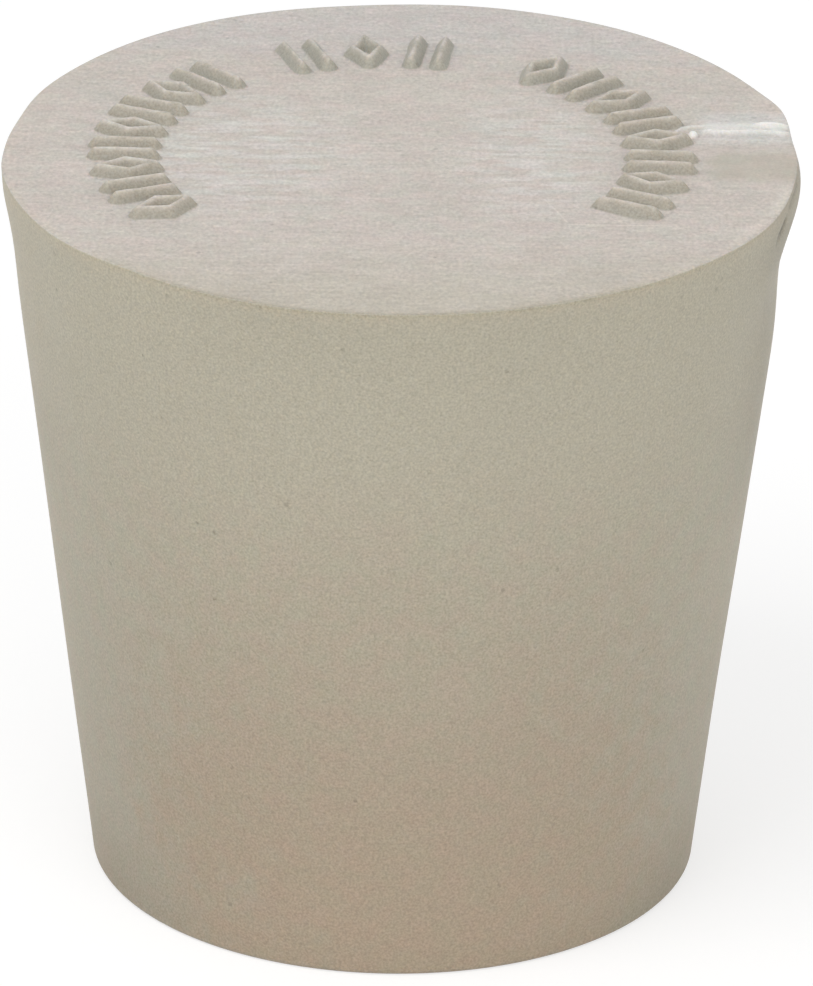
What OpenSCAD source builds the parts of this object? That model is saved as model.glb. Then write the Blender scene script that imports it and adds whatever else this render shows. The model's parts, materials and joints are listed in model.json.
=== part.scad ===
// Solid tapered laboratory stopper, moulded in one piece from milky silicone rubber.
// It stands on its narrow end, with the origin at the centre of that end.

/* [Body] */
// Diameter of the wide top face
top_d = 45; // [42:0.5:60]
// Diameter of the narrow end that goes into the vessel first
bottom_d = 34.5; // [28:0.5:40]
// Height from the narrow end to the top face
height = 43; // [30:1:60]
// Rounding of the edge around the top face
top_edge_r = 0.1; // [0.05:0.05:1]
// Rounding of the edge around the narrow end
bottom_edge_r = 0.45; // [0.2:0.05:2]

/* [Moulded marks] */
// Distance from the rim to the outer ends of the marks, were their ring central
mark_inset = 5.3; // [2.1:0.1:6.1]
// How far the ring of marks lies to the left of the centre
ring_left = 0.45; // [0:0.05:0.8]
// How far the ring of marks lies in front of the centre
ring_front = 0.45; // [0:0.05:0.8]
// Length of a mark, measured towards the centre
mark_length = 4.2; // [3.4:0.1:5]
// Width of a mark, measured around the ring
mark_width = 2.5; // [2.2:0.1:2.8]
// Width of a ridge where it leaves the top face
ridge_w = 1; // [0.6:0.05:1.1]
// Width of the narrow flat along a ridge
ridge_crest = 0.15; // [0.1:0.05:0.3]
// Height of a ridge above the top face
ridge_h = 0.65; // [0.2:0.05:0.8]
// Angle between neighbouring marks in the left group
left_pitch = 11.1; // [10.2:0.1:12]
// Angle between neighbouring marks in the back group
back_pitch = 13.5; // [11:0.5:20]
// Angle between neighbouring marks in the right group
right_pitch = 11.7; // [10.2:0.1:13]
// Direction of the middle of the left group
left_angle = 173.5; // [165:0.5:190]
// Direction of the middle of the back group
back_angle = 96; // [90:1:105]
// Direction of the middle of the right group
right_angle = 14.5; // [10:0.5:25]

/* [Rim fold] */
// Distance of the fold from the line through the centre of the top face
fold_offset = 4.6; // [3:0.2:6]
// Length of the fold, from the rim inwards
fold_length = 5; // [3:0.2:6]
// Width of the raised lip of the fold
fold_lip_w = 1.3; // [0.8:0.1:1.8]
// Height of the raised lip of the fold
fold_lip_h = 0.18; // [0.1:0.02:0.4]
// Width of the groove in front of the lip
fold_groove_w = 1; // [0.5:0.1:1.5]
// Depth of the groove in front of the lip
fold_groove_depth = 0.2; // [0.1:0.02:0.4]
// Radius of the bead at the inner end of the fold
fold_bead_r = 0.35; // [0.25:0.05:0.6]

/* [Swollen and pinched places] */
// Direction of the rim's swelling behind the fold
rim_swell_angle = 18; // [14:1:24]
// How far the rim's swelling stands out
rim_swell_out = 0.35; // [0.1:0.05:0.5]
// Radius to which the rim's swelling is curved
rim_swell_r = 7.5; // [6:0.5:12]
// Direction of the swelling and the pinch on the side
side_flaw_angle = -9; // [-15:1:0]
// How far the side's swelling stands out
side_swell_out = 0.25; // [0.1:0.05:0.5]
// Radius to which the side's swelling is curved
side_swell_r = 12; // [8:1:15]
// Distance from the top face down to the middle of the side's swelling
side_swell_drop = 1.8; // [1:0.2:3]
// How deep the pinch goes into the side
pinch_depth = 0.4; // [0.1:0.05:0.6]
// Radius to which the pinch is curved
pinch_r = 14; // [8:1:20]
// Distance from the top face down to the middle of the pinch
pinch_drop = 6.6; // [6:0.2:12]

/* [Hidden] */
silicone = [0.76, 0.73, 0.66];
$fn = 180;
// Steps in each rounded edge
edge_steps = 6;
// How far a raised form is carried down into the body, and how far a cut reaches past it
root = 0.3;
spare = 1;
// Share of the fold's lip that each of its slopes takes up
lip_slope = 0.4;
// Where a ridge's slope bends: share of its run and of its rise
shoulder_run = 0.35;
shoulder_rise = 0.6;
left_count = 8;
back_count = 3;
right_count = 8;
top_r = top_d / 2;
bottom_r = bottom_d / 2;
taper = atan((top_r - bottom_r) / height);
mark_ring_r = top_r - mark_inset - mark_length / 2;
ridge_run = (ridge_w - ridge_crest) / 2;

// Radius of the plain tapered side at height z
function wall_r(z) = bottom_r + (top_r - bottom_r) * z / height;

// Points of an arc of radius r about centre, from angle a to angle b
function arc(centre, r, a, b) =
    [for (i = [0:edge_steps])
        let (t = a + (b - a) * i / edge_steps)
        centre + r * [cos(t), sin(t)]];

// The tapered plug: flat ends, straight side and two rounded edges
module plug() {
    low = [bottom_r - bottom_edge_r * (1 - sin(taper)) / cos(taper), bottom_edge_r];
    high = [top_r - top_edge_r * (1 + sin(taper)) / cos(taper), height - top_edge_r];
    rotate_extrude()
        polygon(concat(
            [[0, 0]],
            arc(low, bottom_edge_r, -90, -taper),
            arc(high, top_edge_r, -taper, 90),
            [[0, height]]));
}

// Cross-section of a ridge that stands on y = 0: bulging slopes, a narrow flat and a root below
module ridge_section(base, run, rise) {
    polygon([
        [-base / 2, -root],
        [base / 2, -root],
        [base / 2, 0],
        [base / 2 - run * shoulder_run, rise * shoulder_rise],
        [base / 2 - run, rise],
        [run - base / 2, rise],
        [run * shoulder_run - base / 2, rise * shoulder_rise],
        [-base / 2, 0]]);
}

// A straight bar along X with plain ends
module bar(reach, base, run, rise) {
    rotate([90, 0, 90])
        linear_extrude(reach, center = true)
            ridge_section(base, run, rise);
}

// A straight ridge along X whose ends slope like its sides
module ridge(reach, base, run, rise) {
    intersection() {
        bar(reach, base, run, rise);
        rotate(90)
            bar(base, reach, run, rise);
    }
}

// How far the crests of a mark reach from its middle: along the mark and across it
far = (mark_length - ridge_w) / 2;
wide = (mark_width - ridge_w) / 2;

// Mark 1: two ridges side by side
module twin_bars() {
    for (side = [-1, 1])
        translate([0, side * wide])
            ridge(mark_length, ridge_w, ridge_run, ridge_h);
}

// One side of the lozenge, mitred where it meets its neighbours
module lozenge_side(end, side) {
    intersection() {
        translate([end * far, side * wide] / 2)
            rotate(-end * side * atan2(wide, far))
                bar(2 * mark_length, ridge_w, ridge_run, ridge_h);
        translate([end, side] * mark_length / 2)
            cube([mark_length, mark_length, 2 * spare], center = true);
    }
}

// Mark 2: a lozenge whose two points are blunted to the slope of a ridge's ends
module lozenge() {
    intersection() {
        union() {
            for (end = [-1, 1], side = [-1, 1])
                lozenge_side(end, side);
        }
        rotate(90)
            bar(2 * mark_width, mark_length, ridge_run, ridge_h);
    }
}

// Marks on the ring, each turned to point outwards: bars and lozenges by turns
module mark_group(middle, pitch, count) {
    for (i = [0:count - 1])
        rotate(middle + (i - (count - 1) / 2) * pitch)
            translate([mark_ring_r, 0, height]) {
                if (i % 2 == 0) twin_bars();
                else lozenge();
            }
}

module marks() {
    translate([-ring_left, -ring_front, 0]) {
        mark_group(left_angle, left_pitch, left_count);
        mark_group(back_angle, back_pitch, back_count);
        mark_group(right_angle, right_pitch, right_count);
    }
}

// Where the fold lies: along X, from the rim inwards
fold_rim_x = sqrt(top_r * top_r - fold_offset * fold_offset);
fold_end_x = fold_rim_x - fold_length;

// The raised lip of the fold and the bead at its inner end
module fold_lip() {
    lip_reach = fold_length - top_edge_r;
    translate([fold_end_x + lip_reach / 2, fold_offset, height])
        ridge(lip_reach, fold_lip_w, fold_lip_w * lip_slope, fold_lip_h);
    translate([fold_end_x, fold_offset - fold_lip_w / 2 - fold_bead_r, height])
        sphere(r = fold_bead_r, $fn = 48);
}

// The groove in front of the lip, which runs out through the rim
module fold_groove() {
    translate([fold_end_x, fold_offset - (fold_lip_w + fold_groove_w) / 2, height])
        rotate([90, 0, 90])
            linear_extrude(fold_length + 2 * spare)
                polygon([
                    [-fold_groove_w / 2, 0],
                    [0, -fold_groove_depth],
                    [fold_groove_w / 2, 0],
                    [fold_groove_w / 2, spare],
                    [-fold_groove_w / 2, spare]]);
}

// A place where the side stands out, kept below the top face
module swelling(angle, out, radius, drop) {
    z = height - drop;
    intersection() {
        rotate(angle)
            translate([wall_r(z) + out - radius, 0, z])
                sphere(r = radius);
        cylinder(h = height, r = top_r + out + spare);
    }
}

// The hollow pinched into the side below its swelling
module pinch() {
    z = height - pinch_drop;
    rotate(side_flaw_angle)
        translate([wall_r(z) - pinch_depth + pinch_r, 0, z])
            sphere(r = pinch_r);
}

module stopper() {
    color(silicone) {
        difference() {
            union() {
                plug();
                swelling(rim_swell_angle, rim_swell_out, rim_swell_r, top_edge_r);
                swelling(side_flaw_angle, side_swell_out, side_swell_r, side_swell_drop);
            }
            pinch();
            fold_groove();
        }
        marks();
        fold_lip();
    }
}

stopper();
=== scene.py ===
import bpy, json, math
import numpy as np
from mathutils import Matrix, Vector


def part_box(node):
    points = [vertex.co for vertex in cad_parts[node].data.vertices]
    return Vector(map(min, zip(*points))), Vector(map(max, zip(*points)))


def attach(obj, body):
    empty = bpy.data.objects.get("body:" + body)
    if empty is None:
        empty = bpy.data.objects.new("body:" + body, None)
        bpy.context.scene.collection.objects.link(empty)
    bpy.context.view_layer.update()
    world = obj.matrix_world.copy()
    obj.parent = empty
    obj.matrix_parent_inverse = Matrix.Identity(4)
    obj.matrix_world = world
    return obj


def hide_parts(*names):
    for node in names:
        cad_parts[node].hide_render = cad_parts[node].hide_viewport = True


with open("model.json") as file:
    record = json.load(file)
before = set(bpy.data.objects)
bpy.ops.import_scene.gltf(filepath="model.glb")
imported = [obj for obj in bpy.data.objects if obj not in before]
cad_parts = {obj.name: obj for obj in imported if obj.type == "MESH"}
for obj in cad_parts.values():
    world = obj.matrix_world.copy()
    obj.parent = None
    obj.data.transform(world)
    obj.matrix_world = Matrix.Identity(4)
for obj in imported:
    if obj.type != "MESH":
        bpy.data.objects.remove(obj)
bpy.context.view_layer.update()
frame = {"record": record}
mm = 0.001

# sizes come from the frame: the seat gives the taper, the box gives the height of the ridges
low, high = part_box("stopper")
seat = next(m for m in frame["record"]["mounts"] if m["name"] == "taper_seat")["dims"]
height = seat["length_mm"]
topRadius = -low.x / mm
bottomRadius = 2 * seat["r_mm"] - topRadius
ridgeHeight = high.z / mm - height
print("frame loaded: radii %.2f and %.2f mm, height %.1f mm" % (topRadius, bottomRadius, height))

# the body is one closed skin, worked out in millimetres and degrees until the mesh is made
body = {
    "rimRound": 0.07,          # rounding of the rim
    "footRound": 0.36,         # rounding of the lower edge
    "fineStep": 0.37,          # degrees between columns of the top face where there are marks
    "foldStep": 0.25,          # the same across the fold
    "coarseStep": 2.0,         # the same elsewhere, and around the side
    "pinchStep": 0.5,          # degrees between columns of the side at the pinch
    "fineReach": 8.5,          # degrees that the fine columns reach past a group of marks
    "foldArea": (4, 19),       # the fold lies between these directions
    "pinchArea": (-28, 26),    # and the pinch between these
    "seamDrop": 1.6,           # the fine columns start this far below the rim
    "footRings": (4.0, 9.0, 13.0, 15.5),      # radii of the rows on the flat foot
    "footArc": 6,              # steps in the rounding of the lower edge
    "rimArc": 4,               # and of the rim
    # distance between rows: lower side, upper side, below the rim, face at the rim, face, marks, middle
    "rows": (2.2, 0.35, 0.2, 0.12, 0.33, 0.1, 1.4),
    "upperSide": 14,           # the upper side reaches this far down
    "rimRows": 0.5,            # the rows at the rim reach this far in
    "innerRow": 1.5,           # radius of the innermost row of the top face
    "sideWave": (0.03, 6.0),   # slow unevenness of the moulded side: size, and length of its waves
    "topWave": (0.02, 5.0),    # and of the top face
    "footFlat": 1.5,           # the side is even this far up from the foot
    "rimFollow": 2.5,          # the top face follows the rim in and out over this width
    "edgeSoft": 0.1,           # half width of the edge itself
}


def bell(x, spread):
    return np.exp(-0.5 * (x / spread) ** 2)


def turned(a, b):
    return (a - b + 180) % 360 - 180          # smallest difference between two directions


def smooth(t):
    t = np.clip(t, 0, 1)
    return t * t * (3 - 2 * t)


def inBox(x, y, box, soft):
    # 1 well inside the box, 0 outside it, with soft borders
    x0, x1, y0, y1 = box
    across = smooth((x - x0) / soft + 0.5) * smooth((x1 - x) / soft + 0.5)
    return across * smooth((y - y0) / soft + 0.5) * smooth((y1 - y) / soft + 0.5)


def waves(x, y, z, seed, scale):
    # a few sines in random directions: slow, repeatable unevenness
    rng = np.random.default_rng(seed)
    total = np.zeros_like(x)
    for i in range(9):
        d = rng.normal(size=3)
        d /= np.linalg.norm(d) * scale * rng.uniform(0.6, 1.6)
        total += np.sin(x * d[0] + y * d[1] + z * d[2] + rng.uniform(0, 2 * math.pi))
    return total / 3


def within(a, areas):
    return any((a - start) % 360 < end - start for start, end in areas)


def fineAreas():
    # where the top face has marks
    reach = body["fineReach"]
    return [(middle - (count - 1) / 2 * pitch - reach, middle + (count - 1) / 2 * pitch + reach)
            for middle, pitch, count in marks["groups"]]


def topColumns():
    angles, a, areas = [], 0.0, fineAreas()
    while a < 360 - 0.5 * body["foldStep"]:
        angles.append(a)
        if within(a, [body["foldArea"]]):
            a += body["foldStep"]
        else:
            a += body["fineStep"] if within(a, areas) else body["coarseStep"]
    return np.array(angles)


def sideColumns(angles):
    # which of the top's columns carry on down the side
    kept, last = [0], 0.0
    for i, a in enumerate(angles):
        step = body["pinchStep"] if within(a, [body["pinchArea"]]) else body["coarseStep"]
        if a - last >= step - 0.05:
            kept.append(i)
            last = a
    return kept


def steps(start, end, size):
    count = max(1, round(abs(end - start) / size))
    return [start + (end - start) * i / count for i in range(count)]


def profile():
    # (radius, z) from the middle of the foot up to the seam, and from there to the middle of the top face
    slope = math.atan2(topRadius - bottomRadius, height)
    foot, rim = body["footRound"], body["rimRound"]
    lowRow, upRow, seamRow, rimRow, faceRow, markRow, midRow = body["rows"]
    footX = bottomRadius - foot * (1 - math.sin(slope)) / math.cos(slope)
    rimX = topRadius - rim
    side = [(r, 0.0) for r in body["footRings"]]
    for i in range(body["footArc"] + 1):
        t = math.radians(-90) + (math.radians(90) - slope) * i / body["footArc"]
        side.append((footX + foot * math.cos(t), foot + foot * math.sin(t)))
    x0, z0 = side[-1]
    x1, z1 = rimX + rim * math.cos(slope), height - rim - rim * math.sin(slope)
    seam, upper = height - body["seamDrop"], height - body["upperSide"]
    levels = steps(z0, upper, lowRow)[1:] + steps(upper, seam, upRow)
    side += [(x0 + (x1 - x0) * (z - z0) / (z1 - z0), z) for z in levels]
    top = [(x0 + (x1 - x0) * (z - z0) / (z1 - z0), z) for z in steps(seam, z1, seamRow)]
    for i in range(body["rimArc"] + 1):
        t = -slope + (math.radians(90) + slope) * i / body["rimArc"]
        top.append((rimX + rim * math.cos(t), height - rim + rim * math.sin(t)))
    reach = marks["length"] / 2 + math.hypot(*marks["center"]) + marks["margin"]
    inner, outer = marks["ringRadius"] - reach, marks["ringRadius"] + reach
    rimEnd = rimX - body["rimRows"]
    rows = steps(rimX, rimEnd, rimRow)[1:] + steps(rimEnd, outer, faceRow)
    rows += steps(outer, inner, markRow) + steps(inner, body["innerRow"], midRow)
    top += [(r, height) for r in rows]
    return np.array(side), np.array(top)


# ring of moulded marks: each group has the direction of its middle, its pitch and how many marks
marks = {
    "center": (-0.45, -0.45),
    "ringRadius": topRadius - 7.4,            # to the middle of the marks
    "length": 4.3,             # towards the centre
    "width": 2.65,             # around the ring
    "halfBase": 0.54,          # half the width of a ridge at its foot
    "halfCrest": 0.06,         # half the width of its flat crest
    "bulge": 0.8,              # below 1 the flanks bulge, at 1 they are straight
    "ragged": (0.03, 0.45),    # how far the edges of the ridges wander, and how quickly
    "crestSpread": 0.11,       # how far the brushed line along a crest reaches to each side
    "margin": 0.1,             # how far the fine rows reach past the marks
    "groups": [(173.5, 11.1, 8), (96, 13.5, 3), (14.5, 11.7, 8)],
}


def strokesOfMark(kind):
    # ends of the ridges of one mark: first number outwards, second around the ring
    far = marks["length"] / 2 - marks["halfBase"]
    wide = marks["width"] / 2 - marks["halfBase"]
    if kind == "bars":
        return [((-far, s * wide), (far, s * wide)) for s in (-1, 1)]
    return [((e * far, 0), (0, s * wide)) for e in (-1, 1) for s in (-1, 1)]


def allStrokes():
    strokes = []
    left, front = marks["center"]
    for middle, pitch, count in marks["groups"]:
        for i in range(count):
            a = math.radians(middle + (i - (count - 1) / 2) * pitch)
            c, s = math.cos(a), math.sin(a)
            for (u0, v0), (u1, v1) in strokesOfMark("lozenge" if i % 2 else "bars"):
                u0, u1 = u0 + marks["ringRadius"], u1 + marks["ringRadius"]
                start = (left + u0 * c - v0 * s, front + u0 * s + v0 * c)
                strokes.append((*start, left + u1 * c - v1 * s, front + u1 * s + v1 * c))
    return strokes


def toSegment(x, y, x0, y0, x1, y1):
    dx, dy = x1 - x0, y1 - y0
    t = np.clip(((x - x0) * dx + (y - y0) * dy) / (dx * dx + dy * dy), 0, 1)
    return np.hypot(x - x0 - t * dx, y - y0 - t * dy)


def fromMarks(x, y):
    # distance to the nearest crest of a mark
    near = np.full_like(x, 9.0)
    for stroke in allStrokes():
        near = np.minimum(near, toSegment(x, y, *stroke))
    size, scale = marks["ragged"]
    return near + size * waves(x, y, 0 * x, 5, scale)


def markHeight(near):
    # even flanks that bulge a little, up to a narrow crest
    slope = (near - marks["halfCrest"]) / (marks["halfBase"] - marks["halfCrest"])
    return ridgeHeight * (1 - np.clip(slope, 0, 1)) ** marks["bulge"]


# the fold: low lips from the rim inwards, a groove, and a small bead with a hooked lip around it
fold = {
    "lips": [                  # start x, y; end x, y; half width; height
        (17.0, 4.45, 21.4, 4.45, 0.85, 0.14),
        (19.9, 4.60, 21.9, 4.65, 0.26, 0.20),
        (16.9, 3.70, 21.9, 3.65, 0.24, 0.17),
        (17.6, 2.60, 21.4, 2.65, 0.18, 0.05),
    ],
    "groove": (17.3, 3.12, 22.6, 3.05, 0.32, -0.13),
    "bead": (16.5, 3.12, 0.30, 0.34),         # x, y, radius, height
    "hook": [(15.5, 2.9), (15.55, 3.6), (15.9, 4.15), (16.5, 4.4), (17.3, 4.4)],
    "hookSize": (0.15, 0.15),  # half width, height
    "lipWave": (0.06, 2.1),    # how far the lips waver, and how quickly
    # a lip rises at its start and falls at its end: over what length, and how much of it lies outside
    "lipEnds": ((0.8, 0.3), (0.9, 0.6)),
    "softness": 0.6,           # how soft the flanks of the lips and the hook are
    "fullShine": 0.2,          # a lip of this height is as glossy, and as lightened by painted highlight, as they get
    # the pressed strip around the lips, lightened as a painted reflection, and a place that the brushing
    # missed: x from and to, y from and to
    "sheenBand": (17.0, 22.3, 2.2, 6.6),
    "bandSoft": 1.4,
    "patch": (17.3, 22.7, -3.3, 0.9),
    "patchSoft": 2.2,
}


def foldHeight(x, y):
    z = np.zeros_like(x)
    waver, rate = fold["lipWave"]
    (rise, before), (fall, after) = fold["lipEnds"]
    for x0, y0, x1, y1, half, tall in fold["lips"] + [fold["groove"]]:
        line = y0 + (y1 - y0) * (x - x0) / (x1 - x0) + waver * np.sin(rate * x + y0)
        ends = smooth((x - x0) / rise + before) * smooth((x1 - x) / fall + after)
        z += tall * ends * bell(y - line, half * fold["softness"])
    bx, by, br, bh = fold["bead"]
    z = np.maximum(z, bh * np.sqrt(np.clip(1 - ((x - bx) ** 2 + (y - by) ** 2) / br ** 2, 0, 1)))
    half, tall = fold["hookSize"]
    for start, end in zip(fold["hook"], fold["hook"][1:]):
        z = np.maximum(z, tall * bell(toSegment(x, y, *start, *end), half * fold["softness"]))
    return z


# wear, moulding flaws and painted shade
flaws = {
    # the rim isn't quite round: direction, spread in degrees, how far out
    "rim": [
        (-28, 7, 0.13), (19, 4, 0.25), (32, 8, 0.10), (57, 14, 0.33), (78, 7, 0.13),
        (97, 6, -0.08), (122, 10, 0.10), (150, 9, -0.12), (169, 7, -0.36), (180, 4, -0.12),
        (213, 7, 0.15), (229, 5, -0.13), (254, 8, 0.11),
    ],
    "rimReach": 1.7,           # these fade out this far down the side
    "nicks": [(-10, 6, -0.11), (0, 7.5, -0.20), (7, 3.5, -0.14)],
    "nickReach": 0.6,          # the nicks fade out sooner
    # the side: direction, spread in degrees, drop below the rim, spread down, how far out
    "side": {
        "swell": (-1, 9, 1.65, 1.1, 0.21),
        "leftSwell": (-176, 10, 1.4, 1.1, 0.10),
        "pinch": (-8, 9, 6.1, 1.8, -0.37),
        "hollow": (-176, 20, 5.0, 1.8, -0.09),
        "leftWaist": (-176, 30, 14, 10, -0.07),
        "rightWaist": (-3, 25, 32, 5, -0.07),
    },
    # thin creases under the rim: direction and drop of both ends, half width, depth
    "creases": [
        (-16.2, 1.15, -18.8, 1.75, 0.30, 0.12),
        (-7.0, 0.35, -14.5, 0.6, 0.16, 0.07),
    ],
    "creaseSoft": 0.6,         # how soft the flanks of a crease are
    # painted shade on places of the side: direction, spread, drop of upper and lower border, softness,
    # share
    "paintedShade": [
        (-13, 8, -9, 17.6, 8.8, 0.56), (-1, 12, -2, 2.8, 1.4, 0.70),
        (-14, 8, 0.8, 4.5, 2.4, 0.75), (-165, 8, 12, 18.5, 4, 0.16),
    ],
    # the rim's stretch with wear and painted shade: it begins, is full, still is, and ends in these
    # directions
    "wornShadedRim": (215, 245, 298, 314),
    "wornReach": 0.19,         # how far in from the rim the brushing fades there
    "edgeShade": 0.7,           # painted shade on the rounded edge all round
    "faceWearAndShade": 0.17,          # wear and painted shade on the face beside that stretch
    "wornDepth": 3,            # and how far in from the rim
    "rimLineShade": 0.75,          # painted shade on the line of the rim itself there
    "brushGoneAndShade": 0.6,          # how much of the brushing is gone there, which leaves the darker side colour as painted shade
}


def creaseMask(angle, z):
    # 1 in the middle of a crease, 0 beside it
    mask = np.zeros_like(z)
    arc = topRadius * np.radians(turned(angle, 0))
    for a0, drop0, a1, drop1, half, depth in flaws["creases"]:
        arc0, arc1 = topRadius * math.radians(a0), topRadius * math.radians(a1)
        beside = toSegment(arc, height - z, arc0, drop0, arc1, drop1)
        mask = np.maximum(mask, bell(beside, half * flaws["creaseSoft"]) * depth)
    return mask / max(depth for *_, depth in flaws["creases"])


def sideOffset(angle, z):
    # how far the side stands out from the plain taper
    drop = np.clip(height - z, 0, None)
    around = np.radians(angle)
    size, scale = body["sideWave"]
    out = size * waves(20 * np.cos(around), 20 * np.sin(around), z, 3, scale)
    for places, reach in ((flaws["rim"], flaws["rimReach"]), (flaws["nicks"], flaws["nickReach"])):
        for at, spread, far in places:
            out += far * bell(turned(angle, at), spread) * np.exp(-(drop / reach) ** 1.5)
    for at, spread, down, tall, far in flaws["side"].values():
        out += far * bell(turned(angle, at), spread) * bell(drop - down, tall)
    out -= flaws["creases"][0][-1] * creaseMask(angle, z)
    return out * smooth((z - 0.02) / body["footFlat"])


def makeGrid(rows, angles):
    # vertices of a band of rows around the axis, and the masks that the finish needs there
    radius = rows[:, 0][:, None] * np.ones(len(angles))
    z = rows[:, 1][:, None] * np.ones(len(angles))
    angle = np.ones(len(rows))[:, None] * angles
    onTop = z > height - 1e-6
    # the side moves out and in, and the top face follows it near the rim
    nearRim = smooth((radius - (topRadius - body["rimFollow"])) / body["rimFollow"])
    inward = np.clip(topRadius - radius, 0, None)
    under = np.clip(height - z, 0, None)
    edge = bell(inward + under, body["edgeSoft"])
    rimward = bell(inward + 2 * under, flaws["wornReach"])
    a0, a1, a2, a3 = flaws["wornShadedRim"]
    rimShadeAndWear = smooth((angle - a0) / (a1 - a0)) * smooth((a3 - angle) / (a3 - a2))
    face = flaws["faceWearAndShade"] * smooth(1 - inward / flaws["wornDepth"])
    paintedShade = np.zeros_like(z)
    for at, spread, upper, lower, soft, share in flaws["paintedShade"]:
        down = smooth((under - upper) / soft + 0.5) * smooth((lower - under) / soft + 0.5)
        paintedShade = np.maximum(paintedShade, share * bell(turned(angle, at), spread) * down)
    radius = radius + sideOffset(angle, z) * np.where(onTop, nearRim, 1)
    x, y = radius * np.cos(np.radians(angle)), radius * np.sin(np.radians(angle))
    near = fromMarks(x, y)
    mark, lip = markHeight(near), foldHeight(x, y)
    atTop = smooth((z - height + body["rimRound"]) / body["rimRound"])
    size, scale = body["topWave"]
    rise = np.maximum(mark, lip) + np.minimum(lip, 0) + size * waves(x, y, 0 * x, 8, scale)
    z = np.minimum(z + rise * atTop, height + ridgeHeight)
    masks = {
        "ridge": mark / ridgeHeight * atTop,       # 1 on a crest, 0 on the plain face
        "crest": bell(near, marks["crestSpread"]) * atTop,
        # the brushed face, whose lighter colour is partly painted reflection
        "brushedAndSheen": np.clip(2 * atTop, 0, 1) * (1 - flaws["brushGoneAndShade"] * rimShadeAndWear * rimward),
        # painted shade on the rounded rim all round, and wear with painted shade along the rim's front
        # stretch
        "rimShadeAndWear": flaws["edgeShade"] * edge + rimShadeAndWear * (face * atTop + flaws["rimLineShade"] * rimward),
        # painted shade on places of the side
        "paintedShade": paintedShade * (1 - atTop),
        "glossAndHighlight": np.clip(lip / fold["fullShine"], 0, 1) * atTop,
        "sheenBand": inBox(x, y, fold["sheenBand"], fold["bandSoft"]) * atTop,
        "patch": inBox(x, y, fold["patch"], fold["patchSoft"]) * atTop,
        # painted shade in the creases under the rim
        "creaseShade": creaseMask(angle, z),
    }
    return np.stack([x, y, z], -1).reshape(-1, 3), {name: mask.reshape(-1) for name, mask in masks.items()}


def gridFaces(first, rows, columns):
    grid = first + np.arange(rows * columns).reshape(rows, columns)
    a, b = grid[:-1], grid[1:]
    return np.stack([a, np.roll(a, -1, 1), np.roll(b, -1, 1), b], -1).reshape(-1, 4).tolist()


def makeBody():
    sideRows, topRows = profile()
    angles = topColumns()
    kept = sideColumns(angles)
    sidePoints, sideMasks = makeGrid(sideRows, angles[kept])
    topPoints, topMasks = makeGrid(topRows, angles)
    over = len(sidePoints)
    under = over - len(kept)
    footPole = over + len(topPoints)
    inner = footPole - len(angles)
    faces = gridFaces(0, len(sideRows), len(kept)) + gridFaces(over, len(topRows), len(angles))
    # the seam joins each column strip of the side to the finer ones above it
    for j, start in enumerate(kept):
        end = kept[j + 1] if j + 1 < len(kept) else len(angles)
        fine = [over + i % len(angles) for i in range(end, start - 1, -1)]
        faces.append([under + j, under + (j + 1) % len(kept)] + fine)
    faces += [[footPole, (j + 1) % len(kept), j] for j in range(len(kept))]
    faces += [[footPole + 1, inner + j, inner + (j + 1) % len(angles)] for j in range(len(angles))]
    points = np.vstack([sidePoints, topPoints, [0, 0, 0], [0, 0, height]])

    mesh = bpy.data.meshes.new("stopper_body")
    mesh.from_pydata((points * mm).tolist(), [], faces)
    mesh.shade_smooth()
    for name in sideMasks:
        poles = [0, 1 if name == "brushedAndSheen" else 0]
        layer = mesh.attributes.new(name, "FLOAT", "POINT")
        values = np.concatenate([sideMasks[name], topMasks[name], poles])
        layer.data.foreach_set("value", values.astype(np.float32))
    piece = bpy.data.objects.new("stopper_body", mesh)
    bpy.context.scene.collection.objects.link(piece)
    mesh.calc_loop_triangles()
    print("body mesh: %d triangles" % len(mesh.loop_triangles))
    return piece


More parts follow.
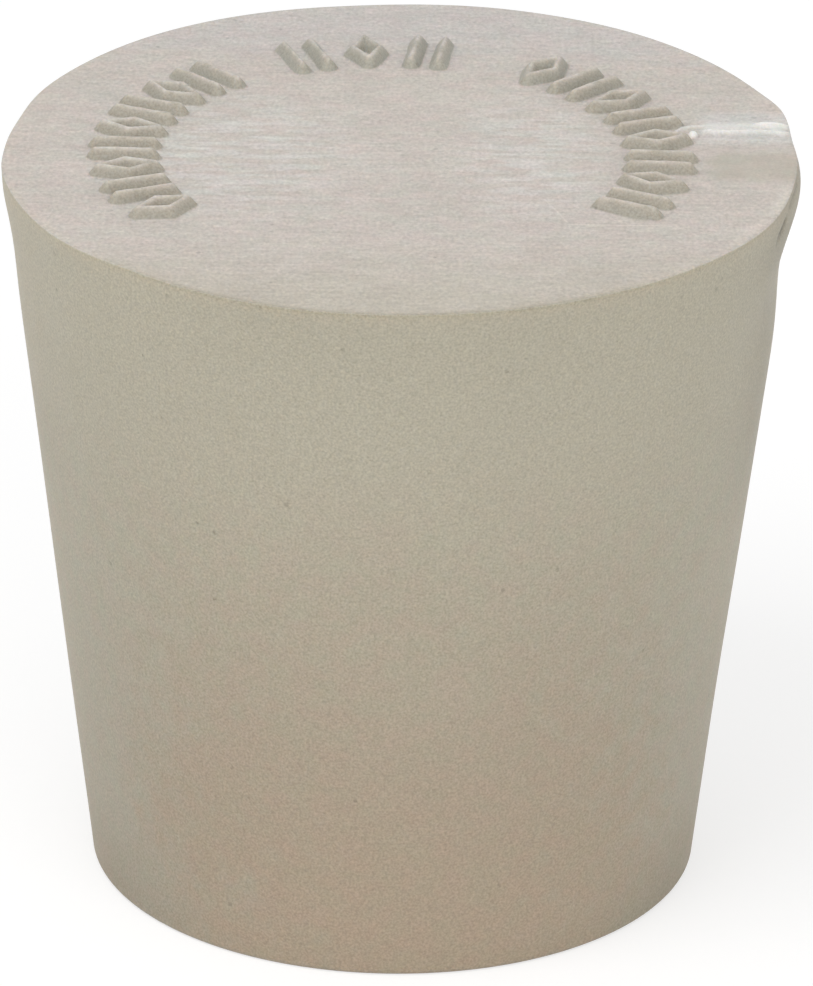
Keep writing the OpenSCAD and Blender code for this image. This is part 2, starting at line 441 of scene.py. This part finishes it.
# milky silicone: colours are linear, sizes in millimetres
silicone = {
    "sideHigh": (0.513, 0.477, 0.379),    # bare moulded silicone near the rim
    "sideLow": (0.444, 0.403, 0.318),     # and near the foot
    "sideWarm": (0.458, 0.371, 0.276),    # the warmer cast low on the front
    "foot": (0.390, 0.340, 0.255),        # painted shade low on the sides near the foot, against the light that the floor throws there
    "aside": (0.980, 0.957, 0.927),       # the cast of the sides and the back
    "rosy": (1.022, 0.988, 1.0),          # slight mottling, both ways
    "greenish": (0.978, 1.012, 1.0),
    "slope": (0.396, 0.371, 0.313),       # flanks of the marks
    "slopeBack": (0.386, 0.374, 0.322),   # and of the marks at the back
    "topWarm": (0.585, 0.534, 0.486),     # brushed face, lighter partly as painted reflection
    "topCool": (0.634, 0.605, 0.567),     # its whiter, cooler places
    "topFront": (0.541, 0.500, 0.430),    # its duller front
    "topBack": (0.575, 0.538, 0.508),     # its greyer back
    # the cooler places: middle x, y; reach along x and y
    "coolPlaces": [(-10.0, 0.0, 8.0, 9.0), (7.5, 0.0, 4.5, 9.0)],
    "patch": (0.520, 0.480, 0.415),       # where the brushing missed
    "glossAndHighlight": (0.800, 0.780, 0.745),       # the fold's lips, lightened as a painted highlight
    "sheenBand": (0.617, 0.597, 0.565),        # painted reflection on the pressed strip around them
    "brushing": 0.26,                     # strength of the brush marks in the colour
    "grain": 0.35,                        # strength of the moulded grain in the colour
    "faceGrain": -0.6,                    # how much weaker it is on the brushed face
    "crest": -1.0,                        # how much of the slopes' colour brushing takes off a crest
    "shineOver": -0.8,                    # and a glossy lip off a mark that it crosses
    "wander": 5.0,                        # how far the borders between the colours wander
    "warmWander": 0.35,
    "patchWander": 0.5,
    "blotches": 0.9,                      # share of small blotches beside the slow clouds
    "specks": -0.21,                      # how much darker the specks in the rubber are
    "speckPattern": (1.0, 0.1),           # cells to the millimetre, share of them with a speck
    "rimDust": -0.15,                     # and the fainter ones under the rim
    "dustPattern": (0.95, 0.35),
    "faceDust": -0.6,                     # how much weaker they are on the brushed face
    "speckSize": (0.10, 0.12),            # the smallest, and how much larger they get
    "speckSoft": (1.0, 0.4),              # from its edge to its full darkness, in shares of its size
    # how much lighter or darker: painted shade just under the rim, darker high on the front, painted light
    # high on the left
    "underRimShade": -0.03,
    "highFront": -0.04,
    "leftLight": 0.045,
    "creaseShade": -0.38,                      # painted shade in the middle of a crease
    "paintedShade": -0.3,                         # painted shade in those places of the side
    "rimShadeAndWear": -0.15,                        # painted shade and wear on the rim
    "smudges": 0.12,                      # cloudiness of the brushed face, both ways
    # share of the short, middling and long streaks and of the light hairs in the brush marks
    "streaks": (0.95, 0.5, 0.3, 0.3),
    "smoother": -0.75,                    # how much weaker on the fold's lips and where the brush missed
    "brushDepth": 0.012,                  # relief of the brush marks and of the grain
    "grainDepth": 0.008,
    "topRoughness": 0.62,
    "sideRoughness": 0.5,
    "shineRoughness": 0.2,
    "glossDrift": 0.07,                   # slow change of the roughness, both ways
    "gloss": 0.35,                        # strength of reflections
    "moreGloss": 0.25,                    # what the fold's lips have on top of it
    "ior": 1.41,
    "milkShare": 0.4,                     # share of the light that goes into the rubber
    "milkSpread": (1.0, 0.7, 0.45),       # red goes farther in it than blue
    "milkDepth": 1.6,                     # how far light spreads inside
    # noise patterns: blotches to the millimetre along x, y and z, and how finely they are broken up
    "patterns": {
        "cloud": ((0.09, 0.09, 0.09), 3.0),
        "blotch": ((0.8, 0.8, 0.8), 2.0),
        "mottle": ((0.7, 0.9, 0.8), 2.0),
        "drift": ((0.2, 0.8, 0.2), 5.0),
        "streak": ((0.35, 1.3, 0.35), 4.0),
        "missed": ((0.7, 1.1, 0.7), 3.0),
        "smudge": ((0.5, 0.8, 0.5), 3.0),
        "shortMark": ((4.6, 2.9, 1.0), 2.0),
        "middleMark": ((1.3, 3.1, 1.0), 2.0),
        "longMark": ((0.3, 3.0, 1.0), 2.0),
        "hair": ((0.3, 6.0, 1.0), 1.0),
        "crest": ((0.9, 0.9, 0.9), 3.0),
        "grain": ((7.5, 7.5, 7.5), 2.0),
        "gloss": ((0.8, 0.8, 0.8), 3.0),
    },
    # where something begins and where it is full; front is 1 straight in front and 0 at the sides
    "fades": {
        "low": (38.0, 0.0),                             # side, by height
        "foot": (7.0, 0.5),
        "sideMottle": (36.0, 24.0),
        "underRimShade": (height - 0.6, height - 0.15),
        "highFront": (height - 15, height),
        "leftLight": (height - 9, height - 1.5),
        "rimDust": (height - 6.0, height - 1.5),
        "warm": (0.45, 0.95),                           # side, by front
        "beside": (0.85, 0.4),
        "aside": (0.52, 0.24),
        "straight": (0.75, 1.0),
        "leftEnd": (-13.0, -20.0),                      # side, by x
        "faceFront": (-11.0, -21.0),                    # top face, by y
        "faceBack": (12.0, 18.0),
        "faceMottle": (-24.0, -8.0),
        "marksBack": (6.0, 13.0),
        "cool": (1.4, 0.4),                             # by distance, in reaches of the cooler place
        "streak": (-0.2, 0.2),                          # by pattern
        "missed": (0.1, 1.0),
        "mottle": (-0.5, 0.5),
        "hair": (0.40, 0.60),
        "caught": (-0.6, 0.1),
        "slope": (0.0, 0.14),                           # by height of a mark
    },
    # scratches on the top face, and one painted highlight along a lip of the fold: start x, y; end x, y;
    # half width; how much lighter
    "scratchesAndHighlight": [
        (9.3, -9.7, 14.9, -9.75, 0.09, 0.17),
        (14.9, -9.75, 17.4, -11.0, 0.07, 0.12),
        (-5.0, -20.7, -2.1, -17.5, 0.09, 0.09),
        (8.1, -6.2, 9.4, -9.6, 0.10, 0.12),
        (13.4, 1.9, 15.0, 1.2, 0.22, 0.12),
        (14.6, 1.15, 16.6, 1.9, 0.24, 0.16),
        (16.2, -2.9, 17.6, -4.5, 0.42, 0.20),
        # painted highlight along the fold's short upper lip
        (19.9, 4.6, 21.7, 4.65, 0.26, 0.20),
        (18.4, -12.2, 20.7, -8.0, 0.60, 0.09),
        (20.7, -8.0, 22.0, -3.4, 0.60, 0.11),
    ],
}


def feed(tree, socket, value):
    if isinstance(value, bpy.types.NodeSocket):
        tree.links.new(value, socket)
    elif isinstance(value, tuple) and len(value) < len(socket.default_value):
        socket.default_value = (*value, 1)
    else:
        socket.default_value = value


def compute(tree, operation, *values):
    node = tree.nodes.new("ShaderNodeMath")
    node.operation = operation
    for socket, value in zip(node.inputs, values):
        feed(tree, socket, value)
    return node.outputs[0]


def vectorCompute(tree, operation, *values):
    node = tree.nodes.new("ShaderNodeVectorMath")
    node.operation = operation
    for socket, value in zip(node.inputs, values):
        feed(tree, socket, value)
    return node.outputs["Value" if operation in ("LENGTH", "DOT_PRODUCT") else "Vector"]


def scaled(tree, vector, factor):
    node = tree.nodes.new("ShaderNodeVectorMath")
    node.operation = "SCALE"
    feed(tree, node.inputs[0], vector)
    feed(tree, node.inputs["Scale"], factor)
    return node.outputs[0]


def fade(tree, value, start, end):
    # 0 at the start, 1 at the end, smooth between
    node = tree.nodes.new("ShaderNodeMapRange")
    node.interpolation_type = "SMOOTHSTEP"
    for socket, v in zip(node.inputs, (value, start, end, 0.0, 1.0)):
        feed(tree, socket, v)
    return node.outputs[0]


def blend(tree, factor, a, b):
    node = tree.nodes.new("ShaderNodeMix")
    node.data_type = "RGBA"
    for index, value in ((0, factor), (6, a), (7, b)):
        feed(tree, node.inputs[index], value)
    return node.outputs[2]


def zone(tree, value, name):
    return fade(tree, value, *silicone["fades"][name])


def noise(tree, coords, name):
    # the result is about -1 to 1
    perMm, detail = silicone["patterns"][name]
    node = tree.nodes.new("ShaderNodeTexNoise")
    node.inputs["Scale"].default_value = 1.0
    node.inputs["Detail"].default_value = detail
    feed(tree, node.inputs["Vector"], vectorCompute(tree, "MULTIPLY", coords, perMm))
    return compute(tree, "MULTIPLY_ADD", node.outputs[0], 2.0, -1.0)


def readMask(tree, name):
    node = tree.nodes.new("ShaderNodeAttribute")
    node.attribute_name = name
    return node.outputs["Fac"]


def lighterLine(tree, coords, x0, y0, x1, y1, half, strength):
    # strength on a line between two points of the top face, 0 beside it
    length = math.hypot(x1 - x0, y1 - y0)
    ux, uy = (x1 - x0) / length, (y1 - y0) / length
    local = vectorCompute(tree, "SUBTRACT", coords, (x0, y0, 0))
    along = vectorCompute(tree, "DOT_PRODUCT", local, (ux, uy, 0))
    aside = compute(tree, "ABSOLUTE", vectorCompute(tree, "DOT_PRODUCT", local, (-uy, ux, 0)))
    ends = compute(tree, "MULTIPLY", fade(tree, along, -half, 3 * half),
                   fade(tree, along, length + half, length - 3 * half))
    line = compute(tree, "MULTIPLY", fade(tree, aside, half, 0.0), ends)
    return compute(tree, "MULTIPLY", line, strength)


def addUp(tree, values):
    total = values[0]
    for value in values[1:]:
        total = compute(tree, "ADD", total, value)
    return total


def mottling(tree, coords, strength):
    # slightly rosy and slightly greenish places, as a factor for a colour
    mottle = compute(tree, "MULTIPLY", noise(tree, coords, "mottle"), strength)
    return blend(tree, zone(tree, mottle, "mottle"), silicone["rosy"], silicone["greenish"])


def sideColor(tree, coords, x, y, z):
    # greyer and lighter near the rim, with a warmer cast low on the front
    across = compute(tree, "SQRT", addUp(tree, [compute(tree, "MULTIPLY", v, v) for v in (x, y)]))
    front = compute(tree, "DIVIDE", compute(tree, "MULTIPLY", y, -1.0), across)
    cloud = noise(tree, coords, "cloud")
    blotch = noise(tree, coords, "blotch")
    mottled = compute(tree, "MULTIPLY_ADD", blotch, silicone["blotches"], cloud)
    low = zone(tree, compute(tree, "MULTIPLY_ADD", cloud, silicone["wander"], z), "low")
    warm = zone(tree, compute(tree, "MULTIPLY_ADD", mottled, silicone["warmWander"], front), "warm")
    color = blend(tree, low, silicone["sideHigh"], silicone["sideLow"])
    color = blend(tree, compute(tree, "MULTIPLY", warm, low), color, silicone["sideWarm"])
    # painted shade low on the sides near the foot
    foot = compute(tree, "MULTIPLY", zone(tree, z, "foot"), zone(tree, front, "beside"))
    color = blend(tree, foot, color, silicone["foot"])
    cast = blend(tree, zone(tree, front, "aside"), (1.0, 1.0, 1.0), silicone["aside"])
    color = vectorCompute(tree, "MULTIPLY", color, cast)
    color = vectorCompute(tree, "MULTIPLY", color, mottling(tree, coords, zone(tree, z, "sideMottle")))
    # painted shade just under the rim, in the creases and in places of the side; darker high on the front;
    # painted light high on the left
    under = compute(tree, "MULTIPLY", zone(tree, z, "underRimShade"), silicone["underRimShade"])
    upper = compute(tree, "MULTIPLY", zone(tree, z, "highFront"), zone(tree, front, "straight"))
    upper = compute(tree, "MULTIPLY", upper, silicone["highFront"])
    # painted light high on the left
    pale = compute(tree, "MULTIPLY", zone(tree, z, "leftLight"), zone(tree, x, "leftEnd"))
    pale = compute(tree, "MULTIPLY", pale, silicone["leftLight"])
    creaseShade = compute(tree, "MULTIPLY", readMask(tree, "creaseShade"), silicone["creaseShade"])
    paintedShade = compute(tree, "MULTIPLY", readMask(tree, "paintedShade"), silicone["paintedShade"])
    return scaled(tree, color, addUp(tree, [under, upper, pale, creaseShade, paintedShade, 1.0]))


def topColor(tree, coords, y):
    # brushed almost white, lighter partly as painted reflection; cooler in streaky places, duller at the
    # front and the back
    drift = noise(tree, coords, "drift")
    streak = noise(tree, coords, "streak")
    cool = 0.0
    for midX, midY, reachX, reachY in silicone["coolPlaces"]:
        local = vectorCompute(tree, "SUBTRACT", coords, (midX, midY, height))
        local = vectorCompute(tree, "MULTIPLY", local, (1 / reachX, 1 / reachY, 0.0))
        inside = zone(tree, vectorCompute(tree, "LENGTH", local), "cool")
        cool = compute(tree, "MAXIMUM", cool, inside)
    cool = compute(tree, "MULTIPLY", cool, zone(tree, streak, "streak"))
    color = blend(tree, cool, silicone["topWarm"], silicone["topCool"])
    drifted = compute(tree, "MULTIPLY_ADD", drift, silicone["wander"], y)
    color = blend(tree, zone(tree, drifted, "faceFront"), color, silicone["topFront"])
    color = blend(tree, zone(tree, drifted, "faceBack"), color, silicone["topBack"])
    missed = noise(tree, coords, "missed")
    missed = compute(tree, "MULTIPLY_ADD", missed, silicone["patchWander"], readMask(tree, "patch"))
    color = blend(tree, zone(tree, missed, "missed"), color, silicone["patch"])
    # painted reflection on the strip around the lips
    color = blend(tree, readMask(tree, "sheenBand"), color, silicone["sheenBand"])
    # painted highlight on the fold's lips
    color = blend(tree, readMask(tree, "glossAndHighlight"), color, silicone["glossAndHighlight"])
    color = vectorCompute(tree, "MULTIPLY", color, mottling(tree, coords, zone(tree, y, "faceMottle")))
    smudge = compute(tree, "MULTIPLY", noise(tree, coords, "smudge"), silicone["smudges"])
    return scaled(tree, color, compute(tree, "ADD", smudge, 1.0))


def brushMarks(tree, coords):
    # brushing along X: short and middling streaks in the relief, and long ones and light hairs
    # in the colour as well
    shortShare, middleShare, longShare, hairShare = silicone["streaks"]
    short = compute(tree, "MULTIPLY", noise(tree, coords, "shortMark"), shortShare)
    middle = compute(tree, "MULTIPLY", noise(tree, coords, "middleMark"), middleShare)
    long = compute(tree, "MULTIPLY", noise(tree, coords, "longMark"), longShare)
    hair = zone(tree, noise(tree, coords, "hair"), "hair")
    relief = compute(tree, "ADD", short, middle)
    return relief, addUp(tree, [relief, long, compute(tree, "MULTIPLY", hair, hairShare)])


def specksIn(tree, coords, perMm, share):
    # 1 in small round specks that lie in a share of the cells, 0 elsewhere
    cells = tree.nodes.new("ShaderNodeTexVoronoi")
    cells.inputs["Scale"].default_value = perMm
    feed(tree, cells.inputs["Vector"], coords)
    channels = tree.nodes.new("ShaderNodeSeparateColor")
    feed(tree, channels.inputs[0], cells.outputs["Color"])
    least, more = silicone["speckSize"]
    size = compute(tree, "MULTIPLY_ADD", channels.outputs[1], more, least)
    away = compute(tree, "DIVIDE", cells.outputs["Distance"], size)
    speck = fade(tree, away, *silicone["speckSoft"])
    return compute(tree, "MULTIPLY", speck, fade(tree, channels.outputs[0], 1 - share, 1.02 - share))


def makeSilicone():
    mat = bpy.data.materials.new("milky_silicone")
    mat.use_nodes = True
    tree = mat.node_tree
    shader = tree.nodes["Principled BSDF"]
    place = tree.nodes.new("ShaderNodeTexCoord")
    coords = scaled(tree, place.outputs["Object"], 1 / mm)
    axes = tree.nodes.new("ShaderNodeSeparateXYZ")
    feed(tree, axes.inputs[0], coords)
    x, y, z = axes.outputs

    # the slopes of the marks keep the colour of the moulding; the brush caught only parts of the crests,
    # and face is 1 where the brushed texture shows
    brushedAndSheen, ridge = readMask(tree, "brushedAndSheen"), readMask(tree, "ridge")
    caught = zone(tree, noise(tree, coords, "crest"), "caught")
    caught = compute(tree, "MULTIPLY", caught, silicone["crest"])
    bare = compute(tree, "MULTIPLY_ADD", readMask(tree, "crest"), caught, 1.0)
    glossAndHighlight = readMask(tree, "glossAndHighlight")
    covered = compute(tree, "MULTIPLY_ADD", glossAndHighlight, silicone["shineOver"], 1.0)
    bare = compute(tree, "MULTIPLY", bare, covered)
    slope = compute(tree, "MULTIPLY", zone(tree, ridge, "slope"), bare)
    face = compute(tree, "MULTIPLY", brushedAndSheen, compute(tree, "SUBTRACT", 1.0, slope))
    smoother = compute(tree, "MAXIMUM", readMask(tree, "patch"), glossAndHighlight)
    smoother = compute(tree, "MULTIPLY", smoother, silicone["smoother"])
    smoother = compute(tree, "ADD", smoother, 1.0)
    reliefMarks, colorMarks = brushMarks(tree, coords)
    brushRelief = compute(tree, "MULTIPLY", reliefMarks, smoother)
    brushing = compute(tree, "MULTIPLY", colorMarks, smoother)
    grain = noise(tree, coords, "grain")

    # colour: side or brushed face, whose lightness is partly painted reflection, then slopes, texture,
    # specks, scratches and a painted highlight
    color = blend(tree, brushedAndSheen, sideColor(tree, coords, x, y, z), topColor(tree, coords, y))
    slopes = blend(tree, zone(tree, y, "marksBack"), silicone["slope"], silicone["slopeBack"])
    color = blend(tree, slope, color, slopes)
    streaks = compute(tree, "MULTIPLY", compute(tree, "MULTIPLY", brushing, silicone["brushing"]), face)
    grains = compute(tree, "MULTIPLY", grain, silicone["grain"])
    weaker = compute(tree, "MULTIPLY_ADD", face, silicone["faceGrain"], 1.0)
    grains = compute(tree, "MULTIPLY", grains, weaker)
    rimDust = specksIn(tree, coords, *silicone["dustPattern"])
    rimDust = compute(tree, "MULTIPLY", rimDust, silicone["rimDust"])
    weaker = compute(tree, "MULTIPLY_ADD", brushedAndSheen, silicone["faceDust"], 1.0)
    rimDust = compute(tree, "MULTIPLY", rimDust, weaker)
    rimDust = compute(tree, "MULTIPLY", rimDust, zone(tree, z, "rimDust"))
    specks = specksIn(tree, coords, *silicone["speckPattern"])
    specks = compute(tree, "MULTIPLY", specks, silicone["specks"])
    scratchesAndHighlight = addUp(tree, [lighterLine(tree, coords, *s) for s in silicone["scratchesAndHighlight"]])
    scratchesAndHighlight = compute(tree, "MULTIPLY", scratchesAndHighlight, face)
    # painted shade and wear on the rim
    rimShadeAndWear = compute(tree, "MULTIPLY", readMask(tree, "rimShadeAndWear"), silicone["rimShadeAndWear"])
    total = addUp(tree, [streaks, grains, specks, rimDust, scratchesAndHighlight, rimShadeAndWear])
    color = scaled(tree, color, compute(tree, "ADD", total, 1.0))
    feed(tree, shader.inputs["Base Color"], color)

    # gloss: the brushed face is dullest, the fold's lips are wet-looking
    gloss = noise(tree, coords, "gloss")
    more = silicone["topRoughness"] - silicone["sideRoughness"]
    matt = compute(tree, "MULTIPLY_ADD", face, more, silicone["sideRoughness"])
    matt = compute(tree, "MULTIPLY_ADD", gloss, silicone["glossDrift"], matt)
    less = compute(tree, "SUBTRACT", silicone["shineRoughness"], matt)
    feed(tree, shader.inputs["Roughness"], compute(tree, "MULTIPLY_ADD", glossAndHighlight, less, matt))

    # relief in millimetres
    brushRelief = compute(tree, "MULTIPLY", brushRelief, silicone["brushDepth"])
    brushRelief = compute(tree, "MULTIPLY", brushRelief, face)
    grainRelief = compute(tree, "MULTIPLY", grain, silicone["grainDepth"])
    grainRelief = compute(tree, "MULTIPLY", grainRelief, compute(tree, "SUBTRACT", 1.0, glossAndHighlight))
    bump = tree.nodes.new("ShaderNodeBump")
    bump.inputs["Strength"].default_value = 1.0
    bump.inputs["Distance"].default_value = mm
    feed(tree, bump.inputs["Height"], compute(tree, "ADD", brushRelief, grainRelief))
    feed(tree, shader.inputs["Normal"], bump.outputs[0])

    specular = compute(tree, "MULTIPLY_ADD", glossAndHighlight, silicone["moreGloss"], silicone["gloss"])
    feed(tree, shader.inputs["Specular IOR Level"], specular)
    shader.inputs["IOR"].default_value = silicone["ior"]
    shader.inputs["Subsurface Weight"].default_value = silicone["milkShare"]
    shader.inputs["Subsurface Radius"].default_value = silicone["milkSpread"]
    shader.inputs["Subsurface Scale"].default_value = silicone["milkDepth"] * mm
    return mat


stopper = makeBody()
stopper.data.materials.append(makeSilicone())
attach(stopper, "root")
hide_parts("stopper")
print("stopper dressed")

studio = {
    "worldStrength": 0.6,
    "floorSeen": (0.45, 0.45, 0.45),      # floor colour for the camera and for reflections
    "floorBounce": (0.7, 0.7, 0.7),       # floor colour for the light that it throws back
    "floorGlow": 0.62,                    # white that the camera sees in the floor beside its colour
    "floorSize": 3.0,
}


def seenDirectly(tree):
    # 1 for the camera and for what gloss and glass show, 0 for the light that falls on things
    path = tree.nodes.new("ShaderNodeLightPath")
    seen = compute(tree, "MAXIMUM", path.outputs["Is Camera Ray"], path.outputs["Is Glossy Ray"])
    return compute(tree, "MAXIMUM", seen, path.outputs["Is Transmission Ray"])


def makeFloor():
    s = studio["floorSize"]
    mesh = bpy.data.meshes.new("floor")
    mesh.from_pydata([(-s, -s, 0), (s, -s, 0), (s, s, 0), (-s, s, 0)], [], [(0, 1, 2, 3)])
    floor = bpy.data.objects.new("floor", mesh)
    bpy.context.scene.collection.objects.link(floor)
    mat = bpy.data.materials.new("white_floor")
    mat.use_nodes = True
    tree = mat.node_tree
    tree.nodes.clear()
    seen = seenDirectly(tree)
    diffuse = tree.nodes.new("ShaderNodeBsdfDiffuse")
    feed(tree, diffuse.inputs["Color"], blend(tree, seen, studio["floorBounce"], studio["floorSeen"]))
    white = tree.nodes.new("ShaderNodeEmission")
    both = tree.nodes.new("ShaderNodeAddShader")
    out = tree.nodes.new("ShaderNodeOutputMaterial")
    feed(tree, white.inputs["Strength"], compute(tree, "MULTIPLY", seen, studio["floorGlow"]))
    feed(tree, both.inputs[0], diffuse.outputs[0])
    feed(tree, both.inputs[1], white.outputs[0])
    feed(tree, out.inputs[0], both.outputs[0])
    mesh.materials.append(mat)


def makeWorld():
    world = bpy.data.worlds.new("studio")
    bpy.context.scene.world = world
    world.use_nodes = True
    tree = world.node_tree
    tree.nodes.clear()
    seenSky = tree.nodes.new("ShaderNodeBackground")
    seenSky.inputs["Strength"].default_value = 1.0
    lightSky = tree.nodes.new("ShaderNodeBackground")
    lightSky.inputs["Strength"].default_value = studio["worldStrength"]
    mix = tree.nodes.new("ShaderNodeMixShader")
    out = tree.nodes.new("ShaderNodeOutputWorld")
    for background in (seenSky, lightSky):
        background.inputs["Color"].default_value = (1, 1, 1, 1)
    feed(tree, mix.inputs[0], seenDirectly(tree))
    feed(tree, mix.inputs[1], lightSky.outputs[0])
    feed(tree, mix.inputs[2], seenSky.outputs[0])
    feed(tree, out.inputs[0], mix.outputs[0])


# large soft lamps: place, aim, size and watts
lamps = {
    "softKey": ((-0.36, -0.35, 0.75), (0, 0, 0.03), 0.6, 2.87),
    "softFill": ((0.33, -0.75, 0.35), (0, 0, 0.02), 0.6, 1.87),
}


def makeLamps():
    for name, (place, aim, size, watts) in lamps.items():
        data = bpy.data.lights.new(name, "AREA")
        data.size = size
        data.energy = watts
        lamp = bpy.data.objects.new(name, data)
        lamp.location = place
        lamp.rotation_euler = (Vector(aim) - Vector(place)).to_track_quat("-Z", "Y").to_euler()
        bpy.context.scene.collection.objects.link(lamp)


camera = {
    "lens": 414.41,
    "sensor": 36,
    "distance": 0.64721,
    "elevation": 24.545,
    "roll": 0.7072,
    "target": (0.0005715, 0.0, 0.022066),
    "clipStart": 0.05,
}


def makeCamera():
    data = bpy.data.cameras.new("camera")
    data.lens = camera["lens"]
    data.sensor_width = camera["sensor"]
    data.clip_start = camera["clipStart"]
    cam = bpy.data.objects.new("camera", data)
    tilt = math.radians(camera["elevation"])
    back = Vector((0, -math.cos(tilt), math.sin(tilt)))
    look = Matrix.Rotation(math.radians(90) - tilt, 4, "X")
    roll = Matrix.Rotation(math.radians(camera["roll"]), 4, "Z")
    place = Vector(camera["target"]) + back * camera["distance"]
    cam.matrix_world = Matrix.Translation(place) @ look @ roll
    bpy.context.scene.collection.objects.link(cam)
    bpy.context.scene.camera = cam


makeFloor()
makeWorld()
makeLamps()
makeCamera()
bpy.context.scene.view_settings.view_transform = "Standard"
print("studio ready")
